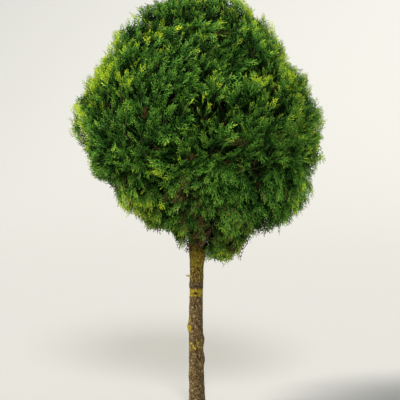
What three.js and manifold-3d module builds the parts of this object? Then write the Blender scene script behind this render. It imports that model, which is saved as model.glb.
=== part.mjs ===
// A standard (lollipop) arborvitae: a clear stem, boughs inside the head, and a clipped round crown.
// Millimetres, +Z up. The origin is the centre of the flat cut at ground level, and -Y is the front.
import * as THREE from "three";
import { mergeVertices } from "three/addons/utils/BufferGeometryUtils.js";
import Module from "manifold-3d";

const wasm = await Module();
wasm.setup();

// Driving dimensions of the crown
const CROWN_WIDTH = 900;
const CROWN_TOP = 1535;
const CROWN_WIDEST = 1025;
const CROWN_FOOT = 555;
const CROWN_ROUNDNESS = 1.68; // 2 would be an ellipse, less is more pointed
const CROWN_DEPTH_SHARE = 0.97; // front to back, beside side to side
const CROWN_SHIFT = 7; // of its middle along X
const SKIRT = { shift: 58, from: 960, to: 720 }; // how much further the lower crown hangs out on the +X side
const TIP = { shift: -14, from: 1100, to: 1400 };

// Hollows in the clipped outline: where, how deep, and how wide each spreads
const DENTS = [
  { x: -300, y: -90, z: 785, depth: 42, spread: 95 },
  { x: -335, y: -40, z: 1290, depth: 20, spread: 90 },
  { x: 335, y: -60, z: 1268, depth: 20, spread: 60 },
  { x: 215, y: -60, z: 640, depth: 34, spread: 55 },
  { x: -85, y: -60, z: 645, depth: 34, spread: 50 },
  { x: -120, y: 330, z: 820, depth: 24, spread: 80 },
  { x: 60, y: 300, z: 1290, depth: 20, spread: 70 },
];

// Driving dimensions of the trunk: height, radius, and the offset of its axis in X and Y
const TRUNK = [
  { z: 0, r: 40, x: 0, y: 0 },
  { z: 12, r: 34, x: 0, y: 0 },
  { z: 36, r: 30, x: 0, y: 0 },
  { z: 100, r: 28.8, x: -0.5, y: 0 },
  { z: 170, r: 28, x: -1.5, y: 1 },
  { z: 300, r: 27, x: -3, y: 2 },
  { z: 400, r: 25.8, x: -2, y: 1 },
  { z: 520, r: 27, x: 0, y: 0 },
  { z: 566, r: 31, x: 2, y: -1 },
  { z: 612, r: 24, x: -5, y: 0 },
  { z: 700, r: 20.5, x: -11, y: 3 },
  { z: 850, r: 18, x: -8, y: 5 },
  { z: 1030, r: 15, x: 3, y: 2 },
  { z: 1180, r: 11, x: -2, y: -2 },
  { z: 1296, r: 7.5, x: -8, y: 0 },
];
const TRUNK_SIDES = 14;
const TRUNK_RINGS = 32;
const TRUNK_RING_CROWDING = 1.12; // above 1, rings lie closer at the foot
const ROOT_RIBS = 5;
const ROOT_RIB_SHARE = 0.13;
const ROOT_RIB_HEIGHT = 30;

// Old branch collars on the clear stem: height, turn in degrees, how far each stands out, and its spread
const KNOTS = [
  { z: 176, turn: 12, out: 4.5, spread: 20 },
  { z: 248, turn: 5, out: 5, spread: 17 },
  { z: 296, turn: 186, out: 5.5, spread: 15 },
  { z: 372, turn: 60, out: 3.5, spread: 17 },
  { z: 436, turn: 262, out: 4.5, spread: 18 },
  { z: 452, turn: 130, out: 3.5, spread: 18 },
  { z: 120, turn: 215, out: 4, spread: 20 },
  { z: 215, turn: 100, out: 4, spread: 18 },
];

// Tiers of foliage masses: how many, the height and reach of their middles, the turn of the first, whether
// the sprays rise (1) or hang (-1), and their tilt from the outline's normal, in degrees.
const TIERS = [
  { name: "lower", count: 6, z: 778, reach: 245, turn: -35, lift: -1, tilt: 62 },
  { name: "middle", count: 7, z: 1000, reach: 300, turn: -64, lift: 1, tilt: 62 },
  { name: "upper", count: 6, z: 1214, reach: 232, turn: -90, lift: 1, tilt: 58 },
  { name: "top", count: 1, z: 1402, reach: 0, turn: 0, lift: 1, tilt: 40 },
];

// The boughs of each tier leave the trunk from foot up over feet, and end drop below their masses' middles.
// r is a bough's radius at its root.
const BOUGHS = {
  lower: { foot: 578, feet: 115, drop: 85, r: 12 },
  middle: { foot: 745, feet: 130, drop: 40, r: 10.5 },
  upper: { foot: 958, feet: 130, drop: 25, r: 9 },
};
const TURN_JITTER = 9;
const HEIGHT_JITTER = 24;
const REACH_JITTER = 14;
const SEED = 12;

// Boughs, stems and twigs
const CLEARANCE = 0.35;
const BOUGH_TAPER = 0.7; // a bough's tip radius, beside its root's
const BOUGH_REACH = 92; // from the trunk's axis to the bough's tip
const BOUGH_BEND = { out: 0.45, up: 0.55 }; // where the bough turns outward, as shares of its reach and rise
const BOUGH_SIDES = 6;
const BOUGH_RINGS = 3;
const STEM_SIDES = 6;
const STEM_RINGS = 3;
const STEM_END_RADIUS = 5;
const STEM_BEND = 0.4; // where it turns to its mass's middle, as a share of its length
const TWIG_RADIUS = 3.4;
const TWIG_SIDES = 3;
const TWIG_SINK = 14; // of a twig's end in its spray
const TWIG_STAND = 10; // of a twig's end above the core

// Foliage: a core in each mass, and sprays that stand out of it
const MASS_GAP = 8;
const SPRAY_DEPTH = 58; // from the core's surface out to the clipped outline
const CORE_HOLLOW = 108; // cores keep this far from the trunk's axis
const TOP_CORE_FLOOR = 1308;
const CORE_DETAIL = 4;
const CORE_FINENESS = 10;
const CORE_ROUNDING = 9;
const SPRAY_TRIES = 90;
const SPRAY_SPACING = 80; // between the hubs of the sprays of one mass
const SPRAY_SLACK = 26; // how much deeper than SPRAY_DEPTH a spray may still be rooted
const SPRAY_SCATTER = 0.12; // how far its place strays from an even spread
const SPRAY_WANDER = 0.75; // how far its way strays from straight up or down the outline
const SPRAY_LENGTHS = { most: 150, least: 72, step: 5 };
const SPRAY_THICKNESS = 5.5;
const SPRAY_DROOP = 0.1;
const SPRAY_HUB = 0.45; // of the length, where the blade is thickest
const OUTLINE_SLACK = 1.015;
const LIMB_MARGIN = 3;
const SHORTEST_EDGE = 0.05;

// The teeth and notches on one side of a spray, along it and out from its middle, as shares of its length
const SPRAY_SIDE = [
  [0.47, 0.4],
  [0.56, 0.17],
  [0.86, 0.27],
  [0.82, 0.09],
];

const BARK = new THREE.MeshStandardMaterial({ color: 0x7d6f58, roughness: 0.95, metalness: 0 });
const TWIG_BARK = new THREE.MeshStandardMaterial({ color: 0x6f5238, roughness: 0.9, metalness: 0 });
const LEAF_GREENS = [0x3f6b22, 0x4a7a26, 0x588a2c].map(
  (color) => new THREE.MeshStandardMaterial({ color, roughness: 0.7, metalness: 0 }),
);

const UP = new THREE.Vector3(0, 0, 1);
const rad = THREE.MathUtils.degToRad;

// Seeded numbers from 0 to 1, the same on every run.
function seeded(seed) {
  let state = seed >>> 0;
  return () => {
    state = (state + 0x6d2b79f5) >>> 0;
    let t = Math.imul(state ^ (state >>> 15), state | 1);
    t = (t + Math.imul(t ^ (t >>> 7), t | 61)) ^ t;
    return ((t ^ (t >>> 14)) >>> 0) / 4294967296;
  };
}

// A named size of the trunk at height z, on a smooth curve through its stations.
function trunkSize(z, key) {
  const above = TRUNK.findIndex((station) => station.z > z);
  const i = above < 0 ? TRUNK.length - 1 : Math.max(above, 1);
  const slope = (k) => {
    const [below, over] = [TRUNK[Math.max(k - 1, 0)], TRUNK[Math.min(k + 1, TRUNK.length - 1)]];
    return (over[key] - below[key]) / (over.z - below.z);
  };
  const [a, b] = [TRUNK[i - 1], TRUNK[i]];
  const height = b.z - a.z;
  const t = THREE.MathUtils.clamp((z - a.z) / height, 0, 1);
  const rise = b[key] - a[key];
  const ease = t * t * (3 - 2 * t);
  const bend = t * (1 - t) * ((1 - t) * slope(i - 1) - t * slope(i)) * height;
  return a[key] + rise * ease + bend;
}

function trunkAxis(z) {
  return new THREE.Vector3(trunkSize(z, "x"), trunkSize(z, "y"), z);
}

// The trunk's radius at a height and turn, with its root ribs and branch collars.
function trunkRadius(z, turn) {
  const ribs = ROOT_RIB_SHARE * Math.exp(-z / ROOT_RIB_HEIGHT) * Math.cos(ROOT_RIBS * turn);
  let radius = trunkSize(z, "r") * (1 + ribs);
  for (const knot of KNOTS) {
    const across = Math.cos(turn - rad(knot.turn));
    const away = Math.acos(THREE.MathUtils.clamp(across, -1, 1)) * radius;
    radius += knot.out * Math.exp(-((z - knot.z) ** 2 + away ** 2) / (knot.spread ** 2));
  }
  return radius;
}

// Turns a plain geometry into a solid, once only its positions are left.
function solidOf(geometry) {
  geometry.deleteAttribute("normal");
  geometry.deleteAttribute("uv");
  const merged = mergeVertices(geometry, 1e-4);
  const mesh = { numProp: 3, vertProperties: merged.attributes.position.array };
  return new wasm.Manifold(new wasm.Mesh({ ...mesh, triVerts: new Uint32Array(merged.index.array) }));
}

// The largest closed body of a solid, with sealed hollows filled and loose scraps dropped.
function wholeBody(solid) {
  const bodies = solid.simplify(SHORTEST_EDGE).decompose();
  return bodies.reduce((best, body) => (body.volume() > best.volume() ? body : best));
}

function geometryOf(solid) {
  const { vertProperties, triVerts } = solid.getMesh();
  const geometry = new THREE.BufferGeometry();
  geometry.setAttribute("position", new THREE.BufferAttribute(vertProperties, 3));
  geometry.setIndex(new THREE.BufferAttribute(triVerts, 1));
  geometry.computeVertexNormals();
  return geometry;
}

// A closed tube: place(share along it, turn) gives each point of its side, and its ends are flat.
function tube(sides, rings, place) {
  const geometry = new THREE.CylinderGeometry(1, 1, 1, sides, rings);
  const position = geometry.attributes.position;
  for (let i = 0; i < position.count; i++) {
    const share = position.getY(i) + 0.5;
    const turn = Math.atan2(position.getX(i), position.getZ(i));
    const point = place(share, turn, Math.hypot(position.getX(i), position.getZ(i)));
    position.setXYZ(i, point.x, point.y, point.z);
  }
  return solidOf(geometry);
}

function makeTrunk(grow = 0) {
  const top = TRUNK[TRUNK.length - 1].z;
  return tube(TRUNK_SIDES, TRUNK_RINGS, (share, turn, out) => {
    const z = top * share ** TRUNK_RING_CROWDING;
    const radius = out * (trunkRadius(z, turn) + grow);
    const rise = grow * (2 * share - 1);
    return trunkAxis(z).add(new THREE.Vector3(radius * Math.cos(turn), radius * Math.sin(turn), rise));
  });
}

// A round limb along a curve, tapering from one radius to the other.
function makeLimb(curve, fromRadius, toRadius, sides, rings) {
  const tangents = [];
  const points = [];
  for (let i = 0; i <= rings; i++) {
    points.push(curve.getPoint(i / rings));
    tangents.push(curve.getTangent(i / rings));
  }
  const flat = new THREE.Vector3().crossVectors(UP, tangents[0]);
  const side = flat.lengthSq() > 1e-6 ? flat.normalize() : new THREE.Vector3(1, 0, 0);
  return tube(sides, rings, (share, turn, out) => {
    const i = Math.round(share * rings);
    const across = side.clone().addScaledVector(tangents[i], -side.dot(tangents[i])).normalize();
    const over = new THREE.Vector3().crossVectors(tangents[i], across);
    const radius = out * THREE.MathUtils.lerp(fromRadius, toRadius, share);
    return points[i]
      .clone()
      .addScaledVector(across, radius * Math.cos(turn))
      .addScaledVector(over, radius * Math.sin(turn));
  });
}

// Where the crown's middle lies along X at height z.
function crownMiddle(z) {
  const skirt = SKIRT.shift * THREE.MathUtils.smoothstep(-z, -SKIRT.from, -SKIRT.to);
  const tip = TIP.shift * THREE.MathUtils.smoothstep(z, TIP.from, TIP.to);
  return CROWN_SHIFT + skirt + tip;
}

// How far out a point is: 0 at the crown's middle, 1 on its clipped outline.
function crownShare(point) {
  const dents = DENTS.reduce((sum, dent) => {
    const away = point.distanceToSquared(dent);
    return sum + dent.depth * Math.exp(-away / dent.spread ** 2);
  }, 0);
  const height = point.z > CROWN_WIDEST ? CROWN_TOP - CROWN_WIDEST : CROWN_WIDEST - CROWN_FOOT;
  const radius = CROWN_WIDTH / 2;
  const across = Math.hypot(point.x - crownMiddle(point.z), point.y / CROWN_DEPTH_SHARE) / radius;
  const upright = Math.abs(point.z - CROWN_WIDEST) / height;
  return (upright ** CROWN_ROUNDNESS + across ** CROWN_ROUNDNESS) ** (1 / CROWN_ROUNDNESS) + dents / radius;
}

// About how far inside the clipped outline a point lies.
function outlineDepth(point) {
  const share = Math.max(crownShare(point), 1e-3);
  const middle = new THREE.Vector3(crownMiddle(point.z), 0, CROWN_WIDEST);
  return point.distanceTo(middle) * (1 / share - 1);
}

// The way straight out of the crown at a point.
function outlineNormal(point) {
  const step = 2;
  const slope = ["x", "y", "z"].map((key) => {
    const ahead = point.clone();
    ahead[key] += step;
    return crownShare(ahead) - crownShare(point);
  });
  return new THREE.Vector3(...slope).normalize();
}

// The middles of the foliage masses, tier by tier, with the names that their nodes take.
function layOutMasses() {
  const random = seeded(SEED);
  const spread = (size) => (2 * random() - 1) * size;
  const masses = [];
  for (const tier of TIERS) {
    for (let k = 0; k < tier.count; k++) {
      const alone = tier.count === 1;
      const turn = rad(tier.turn + (360 * k) / tier.count + spread(TURN_JITTER));
      const z = tier.z + (alone ? 0 : spread(HEIGHT_JITTER));
      const reach = tier.reach + (alone ? 0 : spread(REACH_JITTER));
      const middle = new THREE.Vector3(crownMiddle(z) + reach * Math.cos(turn), reach * Math.sin(turn), z);
      const name = alone ? tier.name : `${tier.name}_${k + 1}`;
      const step = k % 2 ? Math.ceil(tier.count / 2) + (k - 1) / 2 : k / 2;
      const limb = BOUGHS[tier.name];
      const foot = limb && limb.foot + (limb.feet * step) / tier.count;
      masses.push({ name, tier, limb, foot, turn, middle, random: seeded(SEED * 1000 + masses.length) });
    }
  }
  return masses;
}

// The planes halfway to a mass's neighbours, facing it, between which its own space lies.
function wallsRound(mass, masses) {
  return masses
    .filter((other) => other !== mass)
    .map((other) => {
      const inward = new THREE.Vector3().subVectors(mass.middle, other.middle);
      const halfway = other.middle.clone().addScaledVector(inward, 0.5);
      return new THREE.Plane().setFromNormalAndCoplanarPoint(inward.normalize(), halfway);
    });
}

// How far a point lies inside a mass's own space, short of its neighbours.
function roomInside(mass, point) {
  return Math.min(...mass.walls.map((wall) => wall.distanceToPoint(point))) - MASS_GAP / 2;
}

// How far a point lies from the trunk's axis.
function fromTrunk(point) {
  const axis = trunkAxis(point.z);
  return Math.hypot(point.x - axis.x, point.y - axis.y);
}

// As roomInside, and inside the core: under the sprays, clear of the hollow round the trunk, and rounded.
function roomInCore(mass, point) {
  const hollow = mass.limb ? fromTrunk(point) - CORE_HOLLOW : point.z - TOP_CORE_FLOOR;
  const rooms = [outlineDepth(point) - SPRAY_DEPTH, hollow];
  mass.walls.forEach((wall) => rooms.push(wall.distanceToPoint(point) - MASS_GAP / 2));
  const sum = rooms.reduce((total, room) => total + Math.exp(-room / CORE_ROUNDING), 0);
  return -CORE_ROUNDING * Math.log(sum);
}

// The point on the core's surface in one direction from its mass's middle.
function coreSurface(mass, direction) {
  const step = 6;
  let reach = 0;
  const at = (distance) => mass.middle.clone().addScaledVector(direction, distance);
  while (roomInCore(mass, at(reach + step)) > 0) reach += step;
  let [low, high] = [reach, reach + step];
  for (let i = 0; i < 12; i++) {
    const half = (low + high) / 2;
    if (roomInCore(mass, at(half)) > 0) low = half;
    else high = half;
  }
  return at(low);
}

function makeCore(mass) {
  const geometry = new THREE.IcosahedronGeometry(1, CORE_DETAIL);
  const position = geometry.attributes.position;
  for (let i = 0; i < position.count; i++) {
    const direction = new THREE.Vector3().fromBufferAttribute(position, i).normalize();
    const point = coreSurface(mass, direction);
    position.setXYZ(i, point.x, point.y, point.z);
  }
  return solidOf(geometry).simplify(CORE_FINENESS);
}

// A flat, toothed blade of foliage from its root along a direction, thickest at its hub.
function makeSpray(root, along, across, length) {
  const over = new THREE.Vector3().crossVectors(along, across).normalize();
  const place = (x, y, rise = 0) =>
    root
      .clone()
      .addScaledVector(along, x * length)
      .addScaledVector(across, y * length)
      .addScaledVector(over, rise)
      .addScaledVector(UP, -SPRAY_DROOP * length * x * x);
  const left = SPRAY_SIDE.map(([x, y]) => place(x, -y));
  const right = SPRAY_SIDE.map(([x, y]) => place(x, y)).reverse();
  const rim = [place(0, 0), ...left, place(1, 0), ...right];
  const faces = [place(SPRAY_HUB, 0, SPRAY_THICKNESS / 2), place(SPRAY_HUB, 0, -SPRAY_THICKNESS / 2)];
  const [count, index] = [rim.length, []];
  for (let i = 0; i < count; i++) {
    const next = (i + 1) % count;
    index.push(i, next, count, next, i, count + 1);
  }
  const geometry = new THREE.BufferGeometry().setFromPoints([...rim, ...faces]);
  geometry.setIndex(index);
  return { rim, hub: faces[0], geometry };
}

// A direction turned a little by chance.
function wander(vector, random, amount) {
  const jitter = new THREE.Vector3(random() - 0.5, random() - 0.5, random() - 0.5);
  return vector.clone().addScaledVector(jitter, 2 * amount).normalize();
}

// Directions spread evenly over a sphere.
function evenDirections(count) {
  const golden = Math.PI * (3 - Math.sqrt(5));
  return Array.from({ length: count }, (_, i) => {
    const z = 1 - (2 * i + 1) / count;
    const radius = Math.sqrt(1 - z * z);
    return new THREE.Vector3(radius * Math.cos(golden * i), radius * Math.sin(golden * i), z);
  });
}

// Whether a point keeps off the trunk and every bough.
function clearOfLimbs(point, boughs) {
  if (fromTrunk(point) < trunkSize(point.z, "r") + LIMB_MARGIN) return false;
  const steps = 8;
  return boughs.every(({ curve, radius }) => {
    for (let i = 0; i <= steps; i++) {
      if (curve.getPoint(i / steps).distanceTo(point) < radius + LIMB_MARGIN) return false;
    }
    return true;
  });
}

// Twigs run from the stem's end out of the core. Each carries a spray, as long as the outline allows.
function growTwigs(mass, boughs) {
  const grown = [];
  const hubs = [];
  const { random } = mass;
  const inside = (point) => roomInside(mass, point) > 0 && crownShare(point) < OUTLINE_SLACK;
  const fits = (point) => inside(point) && clearOfLimbs(point, boughs);
  for (const even of evenDirections(SPRAY_TRIES)) {
    const surface = coreSurface(mass, wander(even, random, SPRAY_SCATTER));
    const normal = outlineNormal(surface);
    const lift = wander(UP, random, SPRAY_WANDER).multiplyScalar(mass.tier.lift);
    if (outlineDepth(surface) > SPRAY_DEPTH + SPRAY_SLACK) continue;
    const across = new THREE.Vector3().crossVectors(lift, normal).normalize();
    const along = normal.clone().applyAxisAngle(across, -rad(mass.tier.tilt));
    const root = surface.clone().addScaledVector(normal, TWIG_STAND);
    const spray = fitSpray(root, along, across, fits);
    if (!spray || hubs.some((hub) => hub.distanceTo(spray.hub) < SPRAY_SPACING)) continue;
    hubs.push(spray.hub);
    const twig = new THREE.LineCurve3(mass.middle, root.clone().addScaledVector(along, TWIG_SINK));
    grown.push(makeLimb(twig, TWIG_RADIUS, TWIG_RADIUS, TWIG_SIDES, 1), solidOf(spray.geometry));
  }
  return grown;
}

// The longest spray that keeps to its mass's space, or nothing where even the shortest leaves it.
function fitSpray(root, along, across, fits) {
  for (let length = SPRAY_LENGTHS.most; length >= SPRAY_LENGTHS.least; length -= SPRAY_LENGTHS.step) {
    const spray = makeSpray(root, along, across, length);
    if (spray.rim.every(fits)) return spray;
  }
  return null;
}

// A bough rises out of the trunk and ends where its mass begins.
function boughCurve(mass) {
  const outward = new THREE.Vector3(Math.cos(mass.turn), Math.sin(mass.turn), 0);
  const root = trunkAxis(mass.foot);
  const height = mass.middle.z - mass.limb.drop;
  const tip = trunkAxis(height).addScaledVector(outward, BOUGH_REACH);
  const bend = root.clone().addScaledVector(outward, BOUGH_REACH * BOUGH_BEND.out);
  bend.z += (height - mass.foot) * BOUGH_BEND.up;
  return new THREE.QuadraticBezierCurve3(root, bend, tip);
}

// A mass's stem starts clear of what carries it and ends at the mass's middle.
function stemCurve(mass) {
  const top = TRUNK[TRUNK.length - 1];
  const carrier = mass.bough ? mass.bough.getPoint(1) : trunkAxis(top.z);
  const along = mass.bough ? mass.bough.getTangent(1) : UP;
  const start = carrier.clone().addScaledVector(along, CLEARANCE);
  const span = start.distanceTo(mass.middle);
  const bend = start.clone().addScaledVector(along, span * STEM_BEND);
  return new THREE.QuadraticBezierCurve3(start, bend, mass.middle);
}

function addNode(group, name, solid, material) {
  const mesh = new THREE.Mesh(geometryOf(solid), material);
  mesh.name = name;
  group.add(mesh);
}

const plant = new THREE.Group();
plant.name = "standard_arborvitae";

const trunk = makeTrunk();
const trunkWithRoom = makeTrunk(CLEARANCE);
addNode(plant, "trunk", trunk, BARK);

const masses = layOutMasses();
const boughs = [];
for (const mass of masses) {
  mass.walls = wallsRound(mass, masses);
  if (!mass.limb) continue;
  const radius = mass.limb.r;
  mass.bough = boughCurve(mass);
  boughs.push({ curve: mass.bough, radius });
  const bough = makeLimb(mass.bough, radius, radius * BOUGH_TAPER, BOUGH_SIDES, BOUGH_RINGS);
  addNode(plant, `bough_${mass.name}`, bough.subtract(trunkWithRoom), TWIG_BARK);
}

masses.forEach((mass, i) => {
  const stemRadius = mass.limb ? mass.limb.r * BOUGH_TAPER : TRUNK[TRUNK.length - 1].r;
  const stem = makeLimb(stemCurve(mass), stemRadius, STEM_END_RADIUS, STEM_SIDES, STEM_RINGS);
  const whole = wasm.Manifold.union([makeCore(mass), stem, ...growTwigs(mass, boughs)]);
  addNode(plant, `foliage_${mass.name}`, wholeBody(whole), LEAF_GREENS[i % LEAF_GREENS.length]);
});

export default plant;
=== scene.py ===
"""Looks of a ball-headed arborvitae on a clear stem: lichened bark, and a clipped head of leafy sprays.

Sizes are in millimetres, as in the part's source, and become metres where a piece is made. Crown, trunk,
masses and boughs follow the source's rule, and twigs and sprays grow on inside the same outline.
"""

import math
from collections import namedtuple
from types import SimpleNamespace

import bpy
import numpy as np
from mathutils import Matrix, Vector


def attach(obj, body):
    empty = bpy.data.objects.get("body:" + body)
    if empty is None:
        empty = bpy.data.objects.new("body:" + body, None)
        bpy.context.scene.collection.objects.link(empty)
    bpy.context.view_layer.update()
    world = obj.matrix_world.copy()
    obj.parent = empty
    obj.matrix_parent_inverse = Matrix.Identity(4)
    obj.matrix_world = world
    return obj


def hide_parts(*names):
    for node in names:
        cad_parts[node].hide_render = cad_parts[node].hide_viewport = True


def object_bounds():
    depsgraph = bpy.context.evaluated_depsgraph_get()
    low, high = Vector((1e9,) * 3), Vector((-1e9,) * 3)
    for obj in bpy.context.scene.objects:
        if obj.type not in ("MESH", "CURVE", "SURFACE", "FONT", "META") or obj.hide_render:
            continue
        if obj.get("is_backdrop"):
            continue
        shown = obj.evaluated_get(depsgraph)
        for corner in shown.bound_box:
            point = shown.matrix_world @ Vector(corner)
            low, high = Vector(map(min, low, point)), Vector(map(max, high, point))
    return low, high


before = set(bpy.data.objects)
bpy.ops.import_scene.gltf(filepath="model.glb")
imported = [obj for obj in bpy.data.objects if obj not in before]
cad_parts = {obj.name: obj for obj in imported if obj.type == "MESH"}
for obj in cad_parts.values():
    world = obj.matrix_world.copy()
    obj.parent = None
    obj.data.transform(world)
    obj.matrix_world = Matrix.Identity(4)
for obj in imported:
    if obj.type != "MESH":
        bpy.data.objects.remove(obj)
cad_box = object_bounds()

METRES = 0.001
UP = np.array([0.0, 0.0, 1.0])
CAMERA = np.array([12.0, -5144, 1160])
CAMERA_AIM = np.array([12.0, 0, 762])
CAMERA_LENS = 127.5

# Driving dimensions of the crown, as in the source
CROWN_WIDTH = 900
CROWN_TOP = 1535
CROWN_WIDEST = 1025
CROWN_FOOT = 555
CROWN_ROUNDNESS = 1.68
CROWN_DEPTH_SHARE = 0.97
CROWN_SHIFT = 7
SKIRT_SHIFT, SKIRT_FROM, SKIRT_TO = 58, 960, 720
TIP_SHIFT, TIP_FROM, TIP_TO = -14, 1100, 1400
CROWN_CENTRE = np.array([CROWN_SHIFT, 0, CROWN_WIDEST])
CROWN_REACH = 700

# Hollows in the clipped outline: place, depth and spread
DENTS = [
    ((-300, -90, 785), 42, 95), ((-335, -40, 1290), 20, 90), ((335, -60, 1268), 20, 60),
    ((215, -60, 640), 34, 55), ((-85, -60, 645), 34, 50), ((-120, 330, 820), 24, 80),
    ((60, 300, 1290), 20, 70),
]

# The trunk, as in the source: height, radius, and its axis in X and Y
TRUNK = np.array([
    (0, 40, 0, 0), (12, 34, 0, 0), (36, 30, 0, 0), (100, 28.8, -0.5, 0), (170, 28, -1.5, 1),
    (300, 27, -3, 2), (400, 25.8, -2, 1), (520, 27, 0, 0), (566, 31, 2, -1), (612, 24, -5, 0),
    (700, 20.5, -11, 3), (850, 18, -8, 5), (1030, 15, 3, 2), (1180, 11, -2, -2), (1296, 7.5, -8, 0),
])
TRUNK_TOP = 1296
ROOT_RIBS = 5
ROOT_RIB_SHARE = 0.13
ROOT_RIB_HEIGHT = 30

# Old branch collars: height, turn in degrees, relief and spread
KNOTS = [
    (176, 12, 4.5, 20), (248, 5, 5, 17), (296, 186, 5.5, 15), (372, 60, 3.5, 17),
    (436, 262, 4.5, 18), (452, 130, 3.5, 18), (120, 215, 4, 20), (215, 100, 4, 18),
]

# Tiers of foliage masses and their boughs, as in the source
Tier = namedtuple("Tier", "name count z reach turn lift tilt")
TIERS = [
    Tier("lower", 6, 778, 245, -35, -1, 62),
    Tier("middle", 7, 1000, 300, -64, 1, 62),
    Tier("upper", 6, 1214, 232, -90, 1, 58),
    Tier("top", 1, 1402, 0, 0, 1, 40),
]
Bough = namedtuple("Bough", "foot feet drop r")
BOUGHS = {
    "lower": Bough(578, 115, 85, 12), "middle": Bough(745, 130, 40, 10.5), "upper": Bough(958, 130, 25, 9),
}
TURN_JITTER = 9
HEIGHT_JITTER = 24
REACH_JITTER = 14
SEED = 12
BOUGH_TAPER = 0.7
BOUGH_REACH = 92
BOUGH_BEND_OUT, BOUGH_BEND_UP = 0.45, 0.55
STEM_END_RADIUS = 5
STEM_BEND = 0.4
MASS_GAP = 8
SPRAY_DEPTH = 58
CORE_HOLLOW = 108
CORE_REACH = 420
TOP_CORE_FLOOR = 1308
CORE_ROUNDING = 9
BRANCHES_A_MASS = 90
BRANCH_SCATTER = 0.12
BRANCH_WANDER = 0.75
BRANCH_SLACK = 26
BRANCH_STAND = 10

# Layers of shoots: how many, how deep their tips lie and how far that varies, their length, the share of
# their tier's tilt, a spray's pairs of branchlets, and its leaflets' width
Layer = namedtuple("Layer", "count depth vary length lean pairs width")
LAYERS = [
    Layer(1560, 3, 8, 105, 1.0, 5, 0.047),
    Layer(620, 38, 14, 95, 0.85, 4, 0.06),
    Layer(360, 88, 24, 110, 0.6, 3, 0.085),
    Layer(220, 175, 60, 130, 0.5, 3, 0.12),
]
CHANCE = 4  # the seed of what this script adds by chance
TIP_SCATTER = 0.35  # a tenth of the way between tips
HANGING_BELOW, RISING_ABOVE = 690, 1120  # where shoots hang, and where they rise
MASS_HABIT, SHOOT_HABIT = 0.3, 0.32  # how far chance turns a mass's shoots, and each
TILT_SHARES, LENGTH_SHARES = (0.75, 1.1), (0.8, 1.15)
ROLL_BELOW, ROLL_MORE_ABOVE = 0.4, 0.7  # how far shoots roll
SHOOT_LEAFY = 0.6  # the share of a shoot that its sprays hide
SPRAYS_A_SHOOT = 5
SPRAYS_FROM, SPRAYS_TO, SPRAYS_VARY = 0.12, 0.62, 0.04  # their places along it
SPRAY_ANGLE, SPRAY_ANGLE_VARY = 38, 9  # from its shoot, in degrees
SPRAY_ROLL = 0.42
SPRAY_SPAN = (60, 95)  # its length, which falls along its shoot
SPAN_AT_FOOT, SPAN_FALL = 1.05, 0.25
SPRAY_LEAST = 26  # what is shorter is dropped
SPRAY_SEEN = 0.7  # the place along a spray that its looks go by
SPRAY_BEND, SPRAY_CUP, SPRAY_DROOP = (0, 0.12), (0.1, 0.5), (0.0, 0.16)
SPRAY_SEEDS = (3, 8, 15, 21)  # each makes one kind of spray
TUFTS = (-2, 9)  # how far tips stand out of the clipped surface
SHOOT_COVER, SPRAY_COVER = 6, 3  # the least depth of a shoot's end and a spray's root

# The clipped surface: its lumps, and the valleys between two masses
LUMP_SEED = 5
LUMP_WAVES = 14
LUMP_SPAN = (85, 170)
LUMP_HEIGHT = 13
LUMP_PEAK = 1.6  # beside the usual lump
VALLEY_DEPTH = 30
VALLEY_WIDTH = 18

# Folds on the left and right, out where negative: X, Z, depth and spread
FOLDS = [
    (-184, 1470, -8, 50), (154, 1490, -24, 50), (237, 1416, -12, 55), (-300, 1325, 12, 55),
    (-292, 1385, -12, 26), (-390, 1190, -10, 50), (-425, 1128, -44, 32), (-424, 1000, 18, 34),
    (-415, 945, 20, 50), (-345, 838, -34, 26), (-365, 775, -22, 34), (-252, 738, -50, 36),
    (-200, 698, 14, 26), (-115, 632, 42, 36), (322, 1256, 44, 40), (396, 1212, -18, 20),
    (405, 1160, 12, 32), (406, 775, -12, 44), (290, 668, 8, 36), (234, 642, 46, 36),
    (198, 610, 22, 28), (102, 556, -42, 38),
]
FOLD_SPAN = 170  # their reach in Y

# Pits on the front, or plumes where negative: X, Z, depth and spread
FRONT_SPOTS = [
    (-92, 1368, 50, 24), (50, 1290, 36, 20), (-45, 1078, 34, 20), (-322, 1078, 36, 24),
    (-336, 898, 44, 26), (352, 962, 50, 22), (262, 1172, 34, 22), (-42, 706, 50, 24),
    (272, 868, 44, 22), (56, 718, 34, 22), (-190, 1180, 30, 18), (90, 1130, 28, 16),
    (-30, 846, 48, 26), (-36, 795, 40, 22), (190, 880, 52, 28), (-70, 690, 40, 26),
    (212, 1290, 44, 22), (-20, 1430, 34, 22), (30, 1385, -20, 48), (-118, 1345, -22, 40),
    (-160, 1262, -16, 44), (-268, 1240, -20, 40), (-330, 1130, -14, 40), (150, 1375, -16, 38),
    (248, 1330, -14, 40), (150, 1225, -22, 46), (20, 1200, -16, 44), (330, 1130, -16, 44),
    (-150, 1080, -14, 42), (120, 1040, -16, 46), (-230, 960, -16, 42), (-20, 985, -12, 36),
    (60, 880, -16, 40), (110, 730, -14, 40), (250, 780, -16, 48), (-110, 790, -12, 40),
]
FRONT_Y = -20  # what lies before it is the front
SPOTS_BY_CHANCE, SPOTS_SEED = 60, 41
SPOTS_BEHIND = -0.45  # the least Y of their directions
PIT_CHANCE = 0.6
PIT_SIZES, PLUME_SIZES = [(28, 50), (16, 28)], [(-20, -12), (38, 48)]  # depth and spread

# Openings on the front: X, Z, spread, and the share of sprays left out
OPENINGS = [
    (12, 604, 40, 0.98), (44, 636, 32, 0.97), (62, 664, 20, 0.85), (-36, 780, 22, 0.8),
    (-98, 748, 18, 0.6), (58, 722, 18, 0.7), (226, 868, 26, 0.65), (-340, 905, 18, 0.6),
]

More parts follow.
